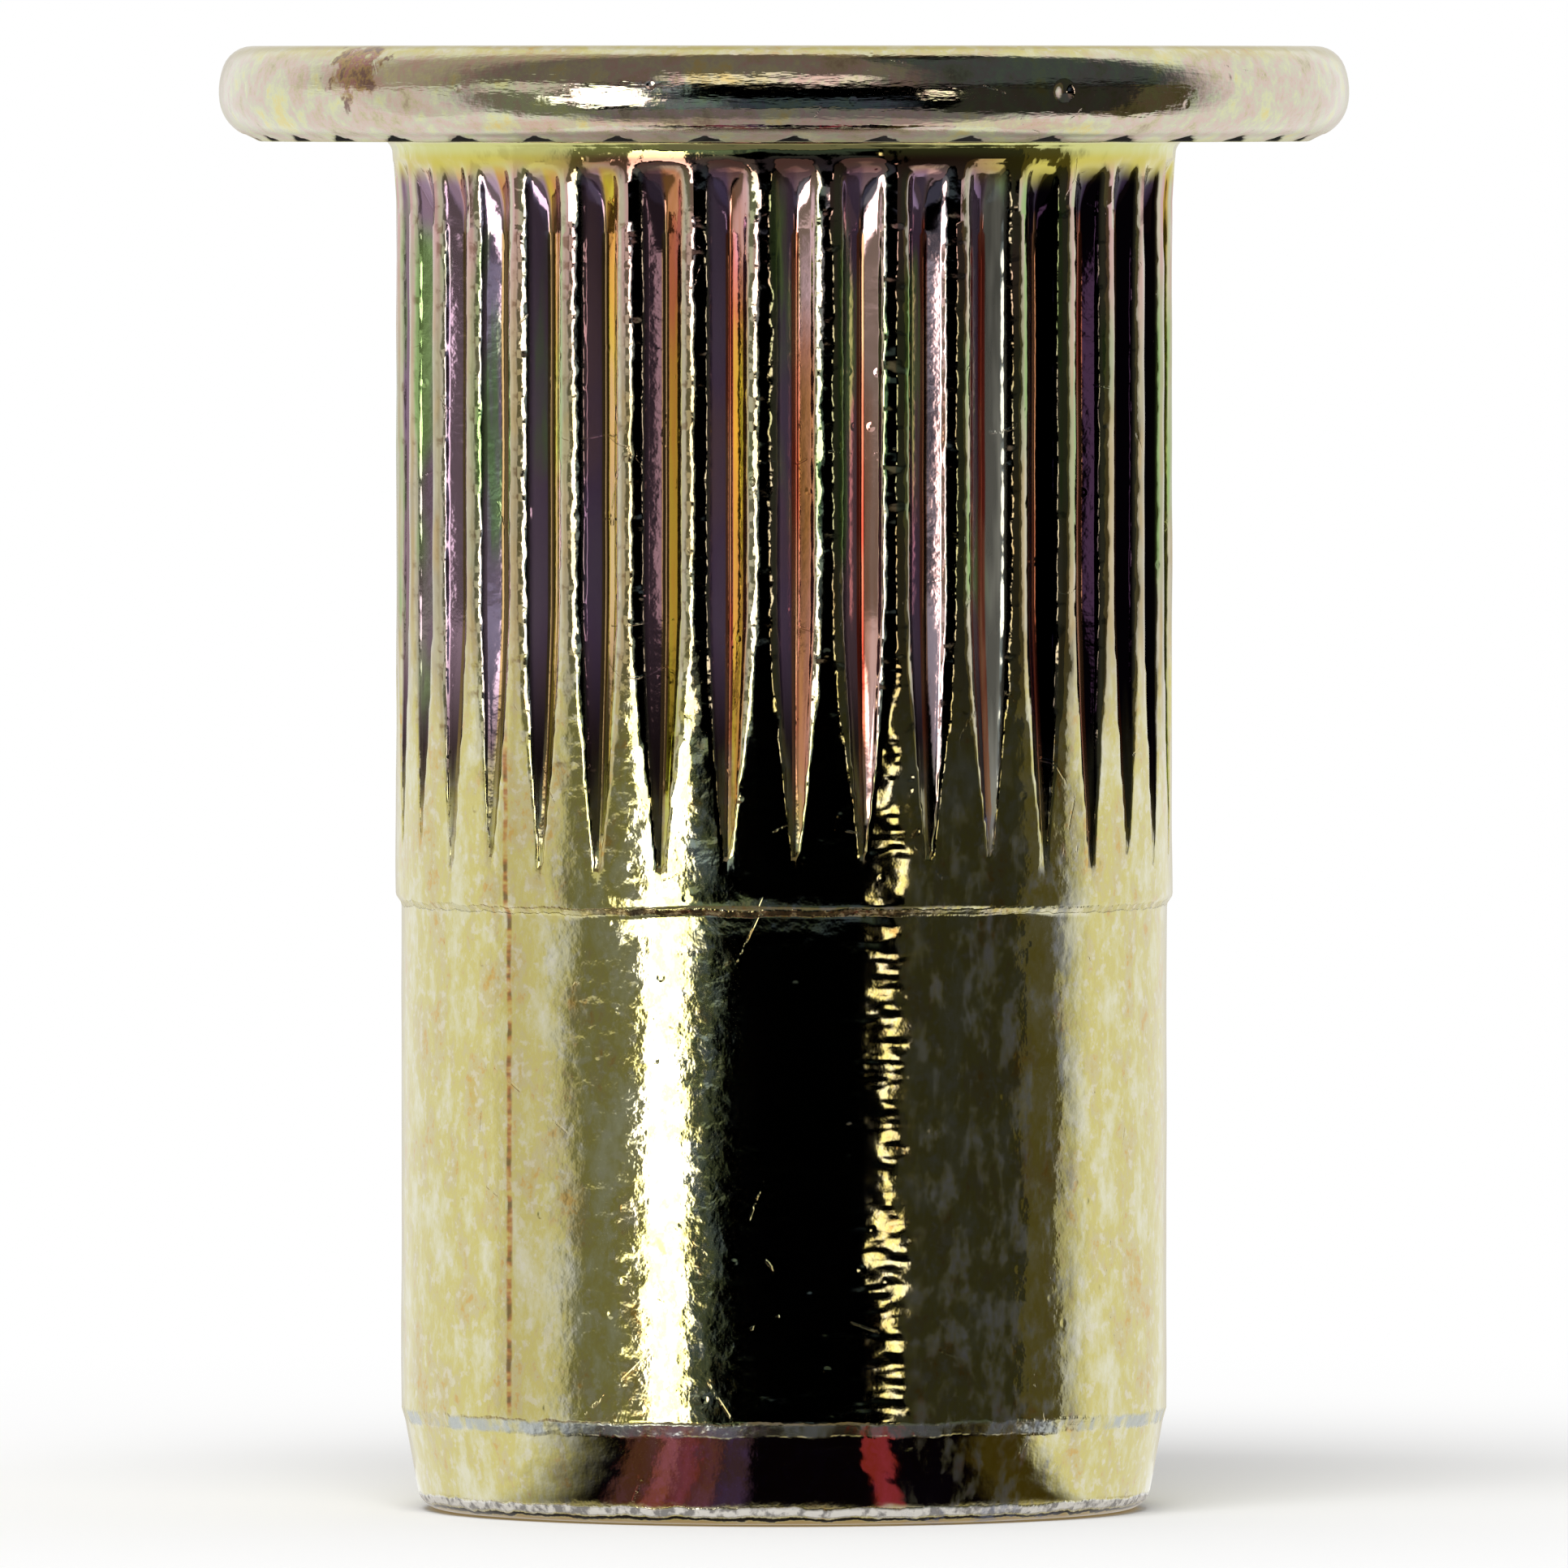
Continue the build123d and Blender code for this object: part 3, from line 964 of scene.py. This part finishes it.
def glowing_grid(name, azimuth, other, card_list, place, surround):
    """A surface that only reflections see, lit by cards over azimuth and one other measure."""
    az, across = np.meshgrid(azimuth, other)
    radiance = np.full((*az.shape, 3), surround)
    for start, end, low, high, color, soft_az, soft in card_list:
        mask = (box_mask(az, start, end, soft_az) * box_mask(across, low, high, soft))[..., None]
        radiance = radiance * (1 - mask) + np.array(color) * mask
    points = np.stack(place(np.radians(az), across), -1)
    index = np.arange(az.size).reshape(az.shape)
    if azimuth[-1] - azimuth[0] > 359:
        index = np.concatenate([index, index[:, :1]], 1)
    corners = [index[:-1, :-1], index[1:, :-1], index[1:, 1:], index[:-1, 1:]]
    mesh = bpy.data.meshes.new(name)
    quads = np.stack(corners, -1).reshape(-1, 4)
    mesh.from_pydata(points.reshape(-1, 3).tolist(), [], quads.tolist())
    attribute = mesh.attributes.new("radiance", "FLOAT_COLOR", "POINT")
    rgba = np.concatenate([radiance, np.ones((*az.shape, 1))], -1)
    attribute.data.foreach_set("color", rgba.ravel())

    material = bpy.data.materials.new(name)
    material.use_nodes = True
    graph = Graph(material.node_tree)
    color = graph.add("ShaderNodeAttribute", attribute_name="radiance").outputs["Color"]
    glow = graph.add("ShaderNodeEmission", {"Color": color, "Strength": 1.0})
    graph.add("ShaderNodeOutputMaterial", {"Surface": glow.outputs[0]})
    material.cycles.emission_sampling = "NONE"
    mesh.materials.append(material)

    glowing = show(name, mesh)
    glowing.visible_camera = False
    glowing.visible_diffuse = False
    glowing.visible_shadow = False
    glowing.visible_transmission = False


def studio_dome():
    """The surroundings that the metal reflects: a white tent with dark flags and lit cards."""

    def place(azimuth, elevation):
        level = dome_radius * np.cos(np.radians(elevation))
        rise = dome_radius * np.sin(np.radians(elevation)) + length * MM / 2
        return level * np.sin(azimuth), -level * np.cos(azimuth), rise

    azimuth = np.linspace(-180, 180, 720, endpoint=False)
    elevation = np.linspace(-89.9, 89.9, 181)
    glowing_grid("studio_dome", azimuth, elevation, cards, place, tent_radiance)


def table_glow():
    """What the foot's lead and round reflect of the table beside them."""

    def place(azimuth, radius):
        level = radius * MM
        height = np.full(radius.shape, table_glow_height)
        return level * np.sin(azimuth), -level * np.cos(azimuth), height

    azimuth = np.linspace(-180, 180, 720, endpoint=False)
    radius = np.linspace(4.6, 9.6, 51)
    glowing_grid("table_glow", azimuth, radius, table_cards, place, tent_radiance)


def near_card():
    """A curved card in front of the flange and above it, which draws the rim's upper streak."""

    def place(azimuth, height):
        return near_card_radius * np.sin(azimuth), -near_card_radius * np.cos(azimuth), height * MM

    azimuth = np.linspace(-24, 19, 44)
    height = np.linspace(24.4, 30.6, 32)
    glowing_grid("near_card", azimuth, height, near_cards, place, near_card_surround)


def background_rays(graph):
    """1 for the rays that show the background: the camera's, reflected and transmitted ones."""
    path = graph.add("ShaderNodeLightPath")
    seen = graph.highest(path.outputs["Is Camera Ray"], path.outputs["Is Glossy Ray"])
    return graph.highest(seen, path.outputs["Is Transmission Ray"])


def white_world():
    world = bpy.data.worlds.new("studio")
    bpy.context.scene.world = world
    world.use_nodes = True
    graph = Graph(world.node_tree)
    shown = background_rays(graph)
    light = graph.add("ShaderNodeBackground", {"Color": (1, 1, 1, 1), "Strength": 0.55})
    backdrop = graph.add("ShaderNodeBackground", {"Color": (1, 1, 1, 1), "Strength": 1.0})
    mixed = graph.add("ShaderNodeMixShader", {0: shown, 1: light.outputs[0], 2: backdrop.outputs[0]})
    graph.add("ShaderNodeOutputWorld", {"Surface": mixed.outputs[0]})


def pale_floor():
    """A pale table under the nut, which turns into the white background farther out."""
    bpy.ops.mesh.primitive_circle_add(
        vertices=96, radius=floor_radius, fill_type="NGON", location=(0, 0, floor_height))
    floor = bpy.context.object
    floor.name = "floor"
    floor.visible_glossy = False
    material = bpy.data.materials.new("pale_floor")
    material.use_nodes = True
    graph = Graph(material.node_tree)
    place = graph.add("ShaderNodeTexCoord").outputs["Object"]
    far = graph.between(graph.vector("LENGTH", place), backdrop_start, backdrop_end)
    far = graph.times(far, background_rays(graph))
    near = graph.add("ShaderNodeBsdfDiffuse", {"Color": (0.96, 0.96, 0.96, 1)})
    backdrop = graph.add("ShaderNodeEmission", {"Color": (1, 1, 1, 1), "Strength": 1.0})
    mixed = graph.add("ShaderNodeMixShader", {0: far, 1: near.outputs[0], 2: backdrop.outputs[0]})
    graph.add("ShaderNodeOutputMaterial", {"Surface": mixed.outputs[0]})
    floor.data.materials.append(material)


def overhead_lamp():
    """A large lamp above the camera that gives the soft shadow. Reflections don't see it."""
    data = bpy.data.lights.new("overhead", "AREA")
    data.size = 0.5
    data.energy = 5.0
    lamp = show("overhead", data)
    lamp.location = (-0.1, -0.5, 0.7)
    lamp.rotation_euler = (radians(36), 0, radians(-11))
    lamp.visible_glossy = False


def add_camera():
    """Level with the flange, looking slightly down at the middle of the nut."""
    eye_height = high_corner.z - 0.0005
    distance = 0.387
    aim_height = 0.01025
    data = bpy.data.cameras.new("camera")
    data.sensor_width = 36.0
    data.lens = 627.4
    data.clip_start = 0.02
    data.clip_end = 3.0
    eye = show("camera", data)
    eye.location = (0, -distance, eye_height)
    eye.rotation_euler = (radians(90) - atan((eye_height - aim_height) / distance), 0, 0)
    bpy.context.scene.camera = eye


add_camera()
piece = build_rivet_nut()
piece.data.materials.append(yellow_zinc())
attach(piece, "root")
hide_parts("rivet_nut")
white_world()
studio_dome()
table_glow()
near_card()
pale_floor()
overhead_lamp()
bpy.context.scene.view_settings.view_transform = "Standard"
